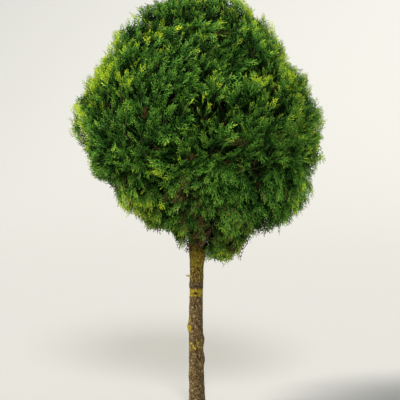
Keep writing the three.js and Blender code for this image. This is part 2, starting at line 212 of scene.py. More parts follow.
# Tufts that hang from the crown's lower edge: X, Y, Z, spread, and how many shoots
HANGING_TUFTS = [
    (92, -30, 572, 34, 26), (160, -30, 604, 22, 10), (-262, -30, 742, 24, 18), (-350, -30, 838, 20, 12),
    (330, -30, 720, 24, 10), (60, 90, 616, 40, 30), (-52, -30, 606, 18, 8), (-148, -30, 676, 20, 10),
]
TUFT_SHAPE = np.array([1, 1.4, 0.8])
TUFT_SCATTER = 0.6

# Tired patches on the front: X, Z, spread, and the share of dead sprays
TIRED_PATCHES = [
    (-28, 830, 60, 0.14), (-55, 715, 55, 0.16), (185, 890, 55, 0.14), (20, 645, 50, 0.08),
    (60, 1190, 22, 0.14), (300, 960, 40, 0.06), (-268, 858, 24, 0.2), (-165, 778, 30, 0.14),
]
TIRED_ALL_OVER, TIRED_BELOW = 0.004, 0.05
TIRED_FROM, TIRED_TO = 800, 620  # the share grows between these heights

# Young growth, painted light and painted shade on the front: X, Z, spread, and how many colours brighter,
# darker where negative
YOUNG_AND_PAINTED_LIGHT_PATCHES = [
    (-300, 1195, 75, 2.4), (-160, 1325, 55, 2.1), (-425, 1070, 50, 0.5), (60, 1420, 80, 0.5),
    (185, 1440, 50, 2.2), (225, 1262, 85, 1.0), (-155, 1085, 75, -1.0), (15, 1085, 100, 1.8),
    (120, 1190, 60, -1.0), (290, 1145, 90, 1.8), (-190, 785, 80, 1.9), (-30, 830, 90, 0.7),
    (250, 790, 90, -0.4), (134, 592, 60, 2.3), (-160, 662, 34, 1.4), (-40, 645, 40, 2.0),
    (-50, 1200, 80, -0.9), (100, 1310, 50, -0.8), (130, 985, 45, -0.9), (-340, 1035, 70, -0.6),
]

# Colours in linear light
LEAF_COLOURS = {
    "shade": (0.006, 0.019, 0.003),
    "deep": (0.021, 0.074, 0.01),
    "green": (0.072, 0.196, 0.022),
    "fresh": (0.165, 0.335, 0.04),
    "lime": (0.43, 0.57, 0.026),
    # pale: a painted rim highlight on leaf tips
    "pale": (0.6, 0.64, 0.29),
    "dead": (0.06, 0.035, 0.012),
    "rust": (0.12, 0.074, 0.026),
    "olive": (0.12, 0.165, 0.03),
}
SHADE, DEEP, GREEN, FRESH, LIME, PALE, DEAD, RUST, OLIVE = range(9)  # their numbers
LEAF_FINISH = (0.6, 0.03)  # roughness and gloss
PLAIN_COLOURS = {  # each with its roughness
    "twig_bark": ((0.08, 0.042, 0.022), 0.85),
    "shoot": ((0.055, 0.095, 0.012), 0.7),
    "cut_wood": ((0.46, 0.37, 0.21), 0.8),
    "floor": ((0.42, 0.42, 0.41), 0.9),
}
# painted shade in the scars' sunk hearts and along the crease on the trunk
PAINTED_SHADE_COLOUR = (0.008, 0.005, 0.003)
STEM_TONES = [(0.009, 0.005, 0.002), (0.067, 0.037, 0.011), (0.148, 0.093, 0.027), (0.285, 0.224, 0.105)]
BOUGH_TONES = [(0.04, 0.023, 0.009), (0.15, 0.095, 0.038), (0.28, 0.19, 0.082), (0.42, 0.31, 0.14)]
LICHEN_TONES = [(0.108, 0.08, 0.006), (0.265, 0.196, 0.009), (0.46, 0.35, 0.021)]

# How a leaflet's colour number is worked out, with painted shade by depth and in hollows, and painted light
# and shade by the side it faces
TONE_AT_SURFACE = 2.3
TONE_FADE = 17  # the depth that takes a leaflet one colour down, partly the inner leaves' own darker colour and partly painted shade
TONE_IN_HOLLOWS = 0.45  # the share of a hollow's depth that counts, as painted shade in hollows and painted light on lumps
TONE_ALONG_SPRAY = 0.8  # how much brighter a spray's tip is than its foot
TONE_BY_SPRAY, TONE_BY_LEAFLET = 0.35, 0.4  # how much chance adds
SUN_SIDE = np.array([-0.42, 0.06, 0.905])  # the side of painted sunlight, where leaflets are painted brightest
SUNNY, TURNED_AWAY = 1.3, 0.35  # how much brighter there in painted light, and darker in painted shade on the other side
SUNNY_DEPTH = 30
FLANK_PAINTED_LIGHT = 1.1  # painted rim light: how much brighter both flanks are
FLANK_FROM, FLANK_TO = 0.66, 0.88  # by how far they face left or right
RIM_SIDE = np.array([0.65, 0, 0.76])  # another rim, with painted rim light
RIM_PAINTED_LIGHT = 1.2
RIM_FROM, RIM_TO = 0.9, 0.97
HIGHLIGHT_SIDE = np.array([-0.96, 0.1, -0.26])  # where tips get a pale painted rim highlight
HIGHLIGHT_FROM, HIGHLIGHT_OVER = 0.74, 0.16
HIGHLIGHT_MOST, HIGHLIGHT_DEPTH = 0.3, 10
HIGHLIGHT_PAST = 0.6  # along a spray
OLIVE_FROM, OLIVE_TO, OLIVE_MOST = 900, 660, 0.5  # sprays turn olive between these heights

# A spray is 1 long. The angle of its side branchlets falls towards its tip.
BRANCHLETS_FROM, BRANCHLETS_SPAN = 0.1, 0.76
BRANCHLET_ANGLE, BRANCHLET_ANGLE_FALL, BRANCHLET_ANGLE_CHANCE = 46, 12, 8
BRANCHLET_LENGTH = 0.47
TOOTH_ANGLE = 36
LEAFLET_WIDEST = 0.68  # where its shoulders are
LEAFLET_FOLD = 0.012

TWIG_RADII = [1.9, 1.7, 1.5, 1.3, 0.5]  # from a twig's foot into its shoot
BRANCH_RADII = [3.6, 3.3, 2.9, 2.6, 2.2, 1.9]
TWIG_BOW, BRANCH_BOW = 0.35, 0.45  # the share of each that lines up with its end

# Pruning scars on the trunk: height, turn, size, their rim's height and their heart's depth
WOUNDS = [
    (422, 264, 11, 1.6, 9), (140, 300, 6, 1.2, 2.5), (338, 120, 7, 1.4, 4), (250, 205, 5, 1.0, 2),
]
WOUND_SQUAT = 1.2  # wider than tall
RIM_SPREAD, HEART_SPREAD, SHADE_SPREAD = 0.4, 0.47, 0.53  # beside its size; the last is the spread of the painted shade in its heart
CREASE_HEIGHT, CREASE_WIDTH, CREASE_SWAY, CREASE_SHADE = 446, 3.2, 2, 0.85  # a ring of painted shade along a crease
STUB = ((-24, -5, 484), (-41, -9, 487), 3.2)  # a cut twig: its foot, end and radius

# Lichen by height, and patches of it: height, turn, spread, and how much more
LICHEN_BANDS = [
    (0, 0.18), (90, 0.22), (123, 0.3), (150, 0.24), (205, 0.26), (232, 0.32), (258, 0.22), (330, 0.18),
    (405, 0.2), (412, 0.44), (438, 0.44), (444, 0.06), (454, 0.22), (470, 0.35), (505, 0.37), (540, 0.42),
    (575, 0.43), (640, 0.28),
]
LICHEN_PATCHES = [
    (292, 206, 13, 0.5), (322, 210, 9, 0.3), (223, 252, 9, 0.15), (240, 290, 8, 0.16),
    (360, 30, 14, 0.2), (180, 100, 16, 0.2), (300, 60, 14, 0.2),
]

# Bark: the height of its relief, and the width and length of its strips, fibres and plates
TRUNK_RELIEF, BOUGH_RELIEF = 1.25, 0.42
TRUNK_GIRTH, BOUGH_GIRTH = 170, 60
TRUNK_SEED, BOUGH_SEED = 30, 50
FULL_RELIEF_RADIUS, RELIEF_SHARES = 28, (0.4, 1.2)  # less on a thinner trunk
RELIEF_SUNK = 1.4  # how far the bark lies inside the solid
STRIP, FIBRE, PLATE = (7, 26), (2.6, 17), (22, 30)
GRAIN_LENGTH = 4.5
BARK_MIX = (0.5, 0.45, 0.7, 0.35)  # strips, fibres, plates and grain
SWAY, SWAY_CELLS, SWAY_LENGTH = 0.5, 5, 90
COLLAR_SHARE, COLLAR_LENGTH, COLLAR_FADE = 0.35, 18, 12  # a bough's thick foot

# Sides and rings of the bark's meshes
TRUNK_SIDES, BOUGH_SIDES, BOUGH_RINGS = 132, 24, 40
CLOSE_BELOW, CLOSE_RINGS = 640, 330
WIDE_ABOVE, WIDE_RINGS = 656, 40

# The floor's inner rings, and its sweep: where that starts, how far it goes out and up
FLOOR_RINGS = (10, 3000)
SWEEP_START, SWEEP_OUT, SWEEP_UP = 5500, 10500, 9000

# Each sun's strength, place, softness in degrees and colour, and the sky's
SUNS = {
    "key": (5.2, (-0.8, -0.08, 0.8), 22, (1.0, 0.96, 0.86)),
    "fill": (2.2, (0.1, -1.0, 0.85), 20, (0.98, 0.99, 1.0)),
}
SKY_COLOUR, SKY_STRENGTH = (0.93, 0.95, 1.0), 0.24


# The source's rule: seeded numbers, trunk, crown and masses

def seeded(seed):
    """The source's own seeded numbers."""
    mask = 0xFFFFFFFF
    state = seed & mask

    def draw():
        nonlocal state
        state = (state + 0x6D2B79F5) & mask
        t = ((state ^ (state >> 15)) * (state | 1)) & mask
        mixed = ((t ^ (t >> 7)) * (t | 61)) & mask
        t = ((t + mixed) & mask) ^ t
        return (t ^ (t >> 14)) / 4294967296

    return draw


def smoothstep(x, start, end):
    t = np.clip((x - start) / (end - start), 0, 1)
    return t * t * (3 - 2 * t)


def near(away, spread):
    """1 in the middle of a spot, and 0 well away from it."""
    return np.exp(-((away / spread) ** 2))


def norm(vectors):
    return np.linalg.norm(vectors, axis=-1)


def unit(vectors):
    return vectors / np.maximum(norm(vectors)[..., None], 1e-9)


def trunk_size(z, column):
    """A column of the trunk's table at heights z, on a smooth curve."""
    heights, sizes = TRUNK[:, 0], TRUNK[:, column]
    last = len(TRUNK) - 1
    i = np.clip(np.searchsorted(heights, z, side="right"), 1, last)
    below, above = np.r_[0, :last], np.r_[1:last + 1, last]
    slope = (sizes[above] - sizes[below]) / (heights[above] - heights[below])
    height = heights[i] - heights[i - 1]
    t = np.clip((z - heights[i - 1]) / height, 0, 1)
    bend = t * (1 - t) * ((1 - t) * slope[i - 1] - t * slope[i]) * height
    return sizes[i - 1] + (sizes[i] - sizes[i - 1]) * smoothstep(t, 0, 1) + bend


def trunk_axis(z):
    z = np.asarray(z, float)
    return np.stack([trunk_size(z, 2), trunk_size(z, 3), z], -1)


def trunk_radius(z, turn):
    """The trunk's radius, with its root ribs and branch collars."""
    ribs = ROOT_RIB_SHARE * np.exp(-z / ROOT_RIB_HEIGHT) * np.cos(ROOT_RIBS * turn)
    radius = trunk_size(z, 1) * (1 + ribs)
    for height, knot_turn, out, spread in KNOTS:
        away = np.arccos(np.clip(np.cos(turn - math.radians(knot_turn)), -1, 1)) * radius
        radius = radius + out * near(np.hypot(z - height, away), spread)
    return radius


def crown_middle(z):
    """The crown's middle in X at height z."""
    skirt = SKIRT_SHIFT * smoothstep(z, SKIRT_FROM, SKIRT_TO)
    tip = TIP_SHIFT * smoothstep(z, TIP_FROM, TIP_TO)
    return CROWN_SHIFT + skirt + tip


def crown_share(points):
    """How far out points are: 0 at the crown's middle, 1 on its clipped outline."""
    dents = sum(depth * near(norm(points - np.array(place)), spread)
                for place, depth, spread in DENTS)
    radius = CROWN_WIDTH / 2
    z = points[..., 2]
    height = np.where(z > CROWN_WIDEST, CROWN_TOP - CROWN_WIDEST, CROWN_WIDEST - CROWN_FOOT)
    across = np.hypot(points[..., 0] - crown_middle(z), points[..., 1] / CROWN_DEPTH_SHARE) / radius
    upright = np.abs(z - CROWN_WIDEST) / height
    share = (upright**CROWN_ROUNDNESS + across**CROWN_ROUNDNESS) ** (1 / CROWN_ROUNDNESS)
    return share + dents / radius


def outline_depth(points):
    """About how far inside the outline points lie."""
    z = points[..., 2]
    middle = np.stack([crown_middle(z), np.zeros_like(z), np.full_like(z, CROWN_WIDEST)], -1)
    share = np.maximum(crown_share(points), 1e-3)
    return norm(points - middle) * (1 / share - 1)


def outline_normal(points):
    """The way straight out of the crown at points."""
    step = 2
    here = crown_share(points)
    slopes = [crown_share(points + step * axis) - here for axis in np.eye(3)]
    return unit(np.stack(slopes, -1))


def bezier(root, bend, tip, count):
    """Quadratic curves of count points each, from roots over bends to tips."""
    t = np.linspace(0, 1, count)[:, None]
    root, bend, tip = (ends[..., None, :] for ends in (root, bend, tip))
    return (1 - t) ** 2 * root + 2 * t * (1 - t) * bend + t**2 * tip


def lay_out_masses():
    """The masses, tier by tier, as the source lays them out."""
    draw = seeded(SEED)
    masses = []
    for tier in TIERS:
        for k in range(tier.count):
            alone = tier.count == 1
            turn = math.radians(tier.turn + 360 * k / tier.count + (2 * draw() - 1) * TURN_JITTER)
            z = tier.z + (0 if alone else (2 * draw() - 1) * HEIGHT_JITTER)
            reach = tier.reach + (0 if alone else (2 * draw() - 1) * REACH_JITTER)
            outward = np.array([math.cos(turn), math.sin(turn), 0])
            middle = np.array([crown_middle(z), 0, z]) + reach * outward
            name = tier.name if alone else f"{tier.name}_{k + 1}"
            step = math.ceil(tier.count / 2) + (k - 1) // 2 if k % 2 else k // 2
            limb = BOUGHS.get(tier.name)
            foot = limb and limb.foot + limb.feet * step / tier.count
            masses.append(SimpleNamespace(name=name, tier=tier, limb=limb, foot=foot, outward=outward,
                                          middle=middle, draw=seeded(SEED * 1000 + len(masses))))
    for mass in masses:
        others = np.array([other.middle for other in masses if other is not mass])
        mass.halfway = (others + mass.middle) / 2
        mass.inward = unit(mass.middle - others)
    return masses


MASSES = lay_out_masses()


def room_in_core(mass, points):
    """How far inside a mass's core points lie."""
    if mass.limb:
        hollow = norm(points - trunk_axis(points[..., 2])) - CORE_HOLLOW
    else:
        hollow = points[..., 2] - TOP_CORE_FLOOR
    walls = ((points[..., None, :] - mass.halfway) * mass.inward).sum(-1) - MASS_GAP / 2
    rooms = [outline_depth(points) - SPRAY_DEPTH, hollow, *np.moveaxis(walls, -1, 0)]
    total = sum(np.exp(np.minimum(-room / CORE_ROUNDING, 60)) for room in rooms)
    return -CORE_ROUNDING * np.log(total)


def first_outside(origin, directions, inside, furthest, step):
    """The furthest points along directions from an origin that are still inside."""
    distances = np.arange(step, furthest, step)
    points = origin + directions[:, None, :] * distances[:, None]
    left = ~inside(points)
    left[:, -1] = True
    high = distances[left.argmax(1)].astype(float)
    low = high - step
    for _ in range(12):
        half = (low + high) / 2
        kept = inside(origin + directions * half[:, None])
        low = np.where(kept, half, low)
        high = np.where(kept, high, half)
    return origin + directions * low[:, None]


def crown_edge(directions, origin=CROWN_CENTRE):
    """Where directions from an origin leave the crown."""
    return first_outside(origin, directions, lambda points: crown_share(points) < 1, CROWN_REACH, step=25)


def even_directions(count):
    """Even directions over a sphere."""
    i = np.arange(count)
    golden = math.pi * (3 - math.sqrt(5))
    z = 1 - (2 * i + 1) / count
    radius = np.sqrt(1 - z * z)
    return np.stack([radius * np.cos(golden * i), radius * np.sin(golden * i), z], -1)


def wander(vector, draw, amount):
    """A direction turned a little, by the source's draws."""
    jitter = np.array([draw() - 0.5 for _ in range(3)])
    return unit(vector + 2 * amount * jitter)


def swung(first, second, angle):
    """Directions swung by an angle from the first towards the second, square to it."""
    return np.cos(angle)[..., None] * first + np.sin(angle)[..., None] * second


def leaning(normals, lifts, tilt):
    """Directions tilted from normals towards lifts."""
    return swung(normals, unit(lifts - (lifts * normals).sum(-1, keepdims=True) * normals), tilt)


def source_branches(mass):
    """Where the source roots its sprays on a mass's core, and which way they point."""
    ways = np.array([(wander(even, mass.draw, BRANCH_SCATTER), wander(UP, mass.draw, BRANCH_WANDER))
                     for even in even_directions(BRANCHES_A_MASS)])
    directions, lifts = ways[:, 0], ways[:, 1] * mass.tier.lift
    surface = first_outside(mass.middle, directions, lambda points: room_in_core(mass, points) > 0,
                            CORE_REACH, step=6)
    open_side = outline_depth(surface) <= SPRAY_DEPTH + BRANCH_SLACK
    surface, lifts = surface[open_side], lifts[open_side]
    normals = outline_normal(surface)
    return surface + normals * BRANCH_STAND, leaning(normals, lifts, math.radians(mass.tier.tilt))


def bough_points(mass, count):
    """The source's curve of a mass's bough, from the trunk's axis to its tip."""
    root = trunk_axis(mass.foot)
    height = mass.middle[2] - mass.limb.drop
    tip = trunk_axis(height) + mass.outward * BOUGH_REACH
    bend = root + mass.outward * BOUGH_REACH * BOUGH_BEND_OUT
    bend[2] += (height - mass.foot) * BOUGH_BEND_UP
    return bezier(root, bend, tip, count)


def stem_points(mass, count):
    """The source's curve of a mass's stem, from its bough or the trunk to its middle."""
    if mass.limb:
        bough = bough_points(mass, 60)
        start, along = bough[-1], unit(bough[-1] - bough[-2])
    else:
        start, along = trunk_axis(TRUNK_TOP), UP
    bend = start + along * norm(start - mass.middle) * STEM_BEND
    return bezier(start, bend, mass.middle, count)


# Mesh making

def make_object(name, points, faces, materials, face_materials=None, smooth=False):
    """An object in metres, from points in millimetres."""
    mesh = bpy.data.meshes.new(name)
    mesh.from_pydata(np.reshape(points, (-1, 3)) * METRES, [], faces, shade_flat=not smooth)
    for material in materials:
        mesh.materials.append(material)
    if face_materials is not None:
        mesh.polygons.foreach_set("material_index", np.asarray(face_materials, np.int32))
    mesh.validate()
    obj = bpy.data.objects.new(name, mesh)
    bpy.context.scene.collection.objects.link(obj)
    return obj


def fix_to_plant(piece, replaced=None):
    """Hides the solid that a piece replaces, if any, and lets the piece ride on the plant's root body."""
    if replaced:
        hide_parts(replaced)
    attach(piece, "root")


def turns(sides):
    return np.linspace(0, 2 * math.pi, sides, endpoint=False)


def limb_points(lines, radii):
    """Points round limbs: lines is (limbs x) points x 3, and radii is (limbs x) points x sides."""
    along = unit(np.gradient(lines, axis=-2))
    reference = np.where(np.abs(along[..., :1, 2:]) > 0.8, np.array([1.0, 0, 0]), UP)
    side = unit(np.cross(along, reference))
    over = np.cross(side, along)
    turn = turns(radii.shape[-1])[:, None]
    around = np.cos(turn) * side[..., None, :] - np.sin(turn) * over[..., None, :]
    return lines[..., None, :] + radii[..., None] * around


def ring_faces(rings, sides, limbs=1):
    """Four-cornered faces of limbs, from rings of points."""
    limb, ring, k = np.meshgrid(np.arange(limbs), np.arange(rings - 1), np.arange(sides), indexing="ij")
    here = (limb * rings + ring) * sides
    after = (k + 1) % sides
    return np.stack([here + k, here + after, here + sides + after, here + sides + k], -1).reshape(-1, 4)


def tubes(lines, radii, sides):
    """Points and faces of round limbs, with a radius for each ring."""
    limbs, rings = lines.shape[:2]
    radii = np.broadcast_to(np.array(radii)[..., None], (limbs, rings, sides))
    return limb_points(lines, radii).reshape(-1, 3), ring_faces(rings, sides, limbs)


def joined(parts):
    points = np.concatenate([part[0] for part in parts])
    starts = np.cumsum([0] + [len(part[0]) for part in parts[:-1]])
    faces = np.concatenate([part[1] + start for part, start in zip(parts, starts)])
    return points, faces


def chosen_from(group, chosen):
    """The chosen ones of a group, such as shoots, whose values are arrays."""
    return SimpleNamespace(**{key: values[chosen] for key, values in vars(group).items()})


def gathered(groups):
    """Several such groups as one."""
    return SimpleNamespace(**{key: np.concatenate([getattr(group, key) for group in groups])
                              for key in vars(groups[0])})


# The clipped surface

def lumps(points):
    """An uneven swell over the crown, about -1 to 1, from crossing waves."""
    random = np.random.default_rng(LUMP_SEED)
    ways = unit(random.normal(size=(LUMP_WAVES, 3)))
    spans = random.uniform(*LUMP_SPAN, LUMP_WAVES)
    phases = random.uniform(0, 2 * math.pi, LUMP_WAVES)
    swells = np.sin(2 * math.pi * (points @ ways.T) / spans + phases)
    return swells.sum(-1) / math.sqrt(LUMP_WAVES / 2) / LUMP_PEAK


def between_masses(points):
    """How far points lie from the plane to the next mass, and their own mass's number."""
    middles = np.array([mass.middle for mass in MASSES])
    away = ((points[:, None, :] - middles) ** 2).sum(-1)
    owner = away.argmin(1)
    rows = np.arange(len(points))
    apart = norm(middles[owner][:, None, :] - middles)
    apart[rows, owner] = 1
    room = (away - away[rows, owner][:, None]) / (2 * apart)
    room[rows, owner] = np.inf
    return room.min(1), owner


def pits_and_plumes():
    """Where the clipped surface sinks or stands out: place, depth and spread."""
    random = np.random.default_rng(SPOTS_SEED)
    ways = unit(random.normal(size=(SPOTS_BY_CHANCE, 3)))
    ways = ways[ways[:, 1] > SPOTS_BEHIND]
    elsewhere = crown_edge(ways)
    pit = random.random(len(ways)) < PIT_CHANCE
    sizes = [np.where(pit, random.uniform(*of_pit, len(ways)), random.uniform(*of_plume, len(ways)))
             for of_pit, of_plume in zip(PIT_SIZES, PLUME_SIZES)]
    ahead = np.array([[0, -1.0, 0]])
    front = [(crown_edge(ahead, (x, 0, z))[0], depth, spread) for x, z, depth, spread in FRONT_SPOTS]
    return [*zip(elsewhere, *sizes), *front]


SPOTS = pits_and_plumes()


def clipped_sink(points):
    """How far the clipped surface lies under the outline near points."""
    room, _ = between_masses(points)
    sink = VALLEY_DEPTH * np.exp(-room / VALLEY_WIDTH) - LUMP_HEIGHT * lumps(points)
    for place, depth, spread in SPOTS:
        sink = sink + depth * near(norm(points - place), spread)
    for x, z, depth, spread in FOLDS:
        away = np.hypot(points[:, 0] - x, points[:, 2] - z)
        sink = sink + depth * near(away, spread) * near(points[:, 1], FOLD_SPAN)
    return sink


def distance_seen(points, x, z):
    """How far from (X, Z) the camera sees points on the front."""
    shown = CAMERA + (points - CAMERA) * (CAMERA[1] / (CAMERA[1] - points[:, 1]))[:, None]
    return np.where(points[:, 1] < FRONT_Y, np.hypot(shown[:, 0] - x, shown[:, 2] - z), np.inf)


def patches_at(points, patches):
    """What patches on the front add up to at points."""
    return sum(more * near(distance_seen(points, x, z), spread) for x, z, spread, more in patches)


def left_out(points):
    """The share of sprays left out at points on the front."""
    return np.max([most * np.exp(-((distance_seen(points, x, z) / spread) ** 4))
                   for x, z, spread, most in OPENINGS], axis=0)


# Shoots

def outline_tips(layer, random):
    """Even points under the outline, and the way straight out at each."""
    scatter = random.normal(0, TIP_SCATTER / math.sqrt(layer.count), (layer.count, 3))
    edge = crown_edge(unit(even_directions(layer.count) + scatter))
    normals = outline_normal(edge)
    return edge - normals * (layer.depth + layer.vary * random.uniform(-1, 1, (layer.count, 1))), normals


def hanging_tips(random):
    """The same for the tufts on the crown's lower edge."""
    tips = np.concatenate([
        place + spread * TUFT_SHAPE * random.normal(0, TUFT_SCATTER, (count, 3))
        for *place, spread, count in HANGING_TUFTS
    ])
    return tips, outline_normal(tips)


def grow_shoots(layer, random):
    """The shoots of one layer, each with its direction and its flat side."""
    tips, normals = outline_tips(layer, random)
    tips = tips - normals * clipped_sink(tips)[:, None]
    if layer is LAYERS[0]:
        more_tips, more_normals = hanging_tips(random)
        tips, normals = np.r_[tips, more_tips], np.r_[normals, more_normals]
    count = len(tips)
    _, owner = between_masses(tips)
    rising = smoothstep(tips[:, 2], HANGING_BELOW, RISING_ABOVE)
    tilt = np.radians([mass.tier.tilt for mass in MASSES])[owner]
    habit = random.normal(0, MASS_HABIT, (len(MASSES), 3))[owner]
    lifts = unit(UP * (2 * rising - 1)[:, None] + habit + random.normal(0, SHOOT_HABIT, (count, 3)))
    along = leaning(normals, lifts, tilt * layer.lean * random.uniform(*TILT_SHARES, count))
    flat = unit(np.cross(lifts, normals))
    roll = random.normal(0, 1, count) * (ROLL_BELOW + ROLL_MORE_ABOVE * rising)
    across = unit(swung(flat, np.cross(along, flat), roll))
    lengths = layer.length * random.uniform(*LENGTH_SHARES, count)
    return SimpleNamespace(tips=tips, roots=tips - along * lengths[:, None], along=along, across=across,
                           lengths=lengths, owner=owner)


def along_them(group, share):
    """Points at a share of the length of shoots or sprays."""
    return group.roots + group.along * (share * group.lengths)[:, None]


def spread_sprays(shoots, random):
    """Sprays by turns left and right of their shoots, and one in line at the end."""
    steps = np.linspace(SPRAYS_FROM, SPRAYS_TO, SPRAYS_A_SHOOT)
    hands = [1 if k % 2 else -1 for k in range(SPRAYS_A_SHOOT - 1)] + [0]
    count = len(shoots.tips)
    sprays = []
    for t, hand in zip(steps, hands):
        at = t + random.uniform(-SPRAYS_VARY, SPRAYS_VARY, count)
        angle = SPRAY_ANGLE + random.uniform(-SPRAY_ANGLE_VARY, SPRAY_ANGLE_VARY, count)
        turn = np.radians(angle) * hand
        along = swung(shoots.along, shoots.across, turn)
        across = swung(shoots.across, -shoots.along, turn)
        across = swung(across, np.cross(along, across), random.normal(0, SPRAY_ROLL, count))
        lengths = random.uniform(*SPRAY_SPAN, count) * (SPAN_AT_FOOT - SPAN_FALL * t)
        sprays.append(SimpleNamespace(roots=along_them(shoots, at), along=along, across=across,
                                      lengths=lengths, owner=shoots.owner, shoot=np.arange(count)))
    return gathered(sprays)


def fit_sprays(sprays, random):
    """Shortens sprays that would stand out of the clipped surface, and drops some."""
    slack = random.uniform(*TUFTS, len(sprays.lengths))
    for _ in range(4):
        tips = along_them(sprays, 1)
        depth = outline_depth(tips) - clipped_sink(tips)
        sprays.lengths = sprays.lengths - 1.3 * np.maximum(-depth - slack, 0)
    sprays.sink = clipped_sink(along_them(sprays, SPRAY_SEEN))
    kept = (sprays.lengths > SPRAY_LEAST) & (outline_depth(sprays.roots) > sprays.sink + SPRAY_COVER)
    gone = np.maximum(left_out(along_them(sprays, 0.5)), left_out(along_them(sprays, 1)))
    kept &= random.random(len(kept)) >= gone
    return chosen_from(sprays, kept)


def leafy(shoots, sprays):
    """Which shoots kept sprays enough to hide them."""
    ends = along_them(shoots, SHOOT_LEAFY)
    many = np.bincount(sprays.shoot, minlength=len(ends)) > 1
    return many & (outline_depth(ends) > clipped_sink(ends) + SHOOT_COVER)


# Sprays and leaflets

def heading(angle):
    return np.array([math.cos(angle), math.sin(angle)])


def kite(start, angle, length, width):
    """A leaflet's corners: its root, a shoulder, its tip and the other shoulder."""
    way, side = heading(angle), heading(angle + math.pi / 2) * width / 2
    shoulder = start + way * length * LEAFLET_WIDEST
    return [start, shoulder - side, start + way * length, shoulder + side]


def branchlet(root, angle, length, width, curl):
    """Three leaflets of a curling branchlet: its foot, its tip and a side tooth."""
    way = heading(angle) * length
    fork = angle + math.copysign(math.radians(TOOTH_ANGLE), angle)
    return [
        kite(root, angle, length * 0.6, width),
        kite(root + way * 0.48, angle - curl, length * 0.52, width * 0.9),
        kite(root + way * 0.3, fork, length * 0.34, width * 0.75),
    ]


def spray_template(seed, pairs, width):
    """A spray of length 1: its leaflets' corners, and each one's place along it."""
    random = np.random.default_rng(seed)
    leaflets = branchlet((0, 0), 0.02, 0.55, width, 0.05)[:2]
    leaflets += branchlet((0.48, 0), -0.02, 0.52, width, -0.05)
    places = [0.3, 0.5, 0.6, 0.9, 0.7]
    tilts = [0] * len(places)
    for k in range(2 * pairs):
        t = BRANCHLETS_FROM + BRANCHLETS_SPAN * (k + random.uniform(-0.25, 0.25)) / (2 * pairs)
        hand = 1 if k % 2 else -1
        length = BRANCHLET_LENGTH * (1 - t) ** 0.55 * (0.6 + 0.8 * t) * random.uniform(0.85, 1.2)
        chance = random.uniform(-BRANCHLET_ANGLE_CHANCE, BRANCHLET_ANGLE_CHANCE)
        angle = math.radians(BRANCHLET_ANGLE - BRANCHLET_ANGLE_FALL * t + chance) * hand
        curl = math.radians(random.uniform(4, 24)) * hand
        leaflets += branchlet((t, 0), angle, length, width, curl)
        places += [t, t + 0.75 * length, t]
        tilts += [random.normal(0, 0.3)] * 3
    leaflets = np.array(leaflets)
    rise = np.array(tilts)[:, None] * np.abs(leaflets[..., 1])
    rise[:, [1, 3]] += LEAFLET_FOLD
    return np.concatenate([leaflets, rise[..., None]], -1), np.array(places)


def place_sprays(template, sprays):
    """A template's leaflets on each of some sprays."""
    x, y, z = np.moveaxis(template, -1, 0)[..., None]
    over = np.cross(sprays.along, sprays.across)
    ways = (sprays.roots, sprays.along, sprays.across, over)
    shares = (sprays.lengths, sprays.bend, sprays.cup, sprays.droop)
    roots, along, across, over = (way[:, None, None] for way in ways)
    lengths, bend, cup, droop = (share[:, None, None, None] for share in shares)
    rise = bend * x * x + cup * y * y + z
    return roots + lengths * (x * along + y * across + rise * over - droop * x * x * UP)


def leaf_tones(corners, places, sink, random):
    """Each leaflet's colour number, by its depth and place: darker deeper in, partly its own colour and
    partly painted shade, with painted light and shade by the side it faces.
    """
    middles = corners.mean(2)
    spot = middles[:, 0]
    # painted shade: darker under the clipped surface and in hollows, lighter on lumps; partly the inner
    # leaves' own darker colour
    under = np.maximum(outline_depth(middles) - sink[:, None], 0)
    depth = under + TONE_IN_HOLLOWS * sink[:, None]
    normals = outline_normal(spot)
    # painted sunlight on the side the crown faces towards the sun, painted shade on the other side, and
    # painted rim light
    facing = normals @ SUN_SIDE
    sunny = SUNNY * np.clip(facing, 0, 1) + TURNED_AWAY * np.clip(facing, -1, 0) + young_growth_and_painted_light(spot, normals)
    light = TONE_AT_SURFACE - depth / TONE_FADE + sunny[:, None] * np.exp(-under / SUNNY_DEPTH)
    chance = random.normal(0, TONE_BY_SPRAY, (len(sink), 1)) + random.normal(0, TONE_BY_LEAFLET, depth.shape)
    tones = np.round(light + TONE_ALONG_SPRAY * (places - 0.5) + chance)
    tones = np.clip(tones, SHADE, LIME).astype(int)
    olive = random.random(len(sink)) < OLIVE_MOST * smoothstep(spot[:, 2], OLIVE_FROM, OLIVE_TO)
    tones[olive[:, None] & (tones == GREEN)] = OLIVE
    # a pale painted rim highlight on outer tips on one side
    highlit = np.clip((normals @ HIGHLIGHT_SIDE - HIGHLIGHT_FROM) / HIGHLIGHT_OVER, 0, 1)[:, None] * (places > HIGHLIGHT_PAST)
    tones[(random.random(depth.shape) < HIGHLIGHT_MOST * highlit) & (under < HIGHLIGHT_DEPTH)] = PALE
    return tones


def young_growth_and_painted_light(points, normals):
    """How many colours brighter leaflets are: painted rim light on both flanks and another rim, and the
    front's patches of young growth, painted light and painted shade.
    """
    # painted rim light on both flanks and on another rim
    more = FLANK_PAINTED_LIGHT * smoothstep(np.abs(normals[:, 0]), FLANK_FROM, FLANK_TO)
    more = more + RIM_PAINTED_LIGHT * smoothstep(normals @ RIM_SIDE, RIM_FROM, RIM_TO)
    # patches of young growth, painted light and painted shade
    return more + patches_at(points, YOUNG_AND_PAINTED_LIGHT_PATCHES)


def tired_share(points):
    below = smoothstep(points[:, 2], TIRED_FROM, TIRED_TO)
    return TIRED_ALL_OVER + TIRED_BELOW * below + patches_at(points, TIRED_PATCHES)


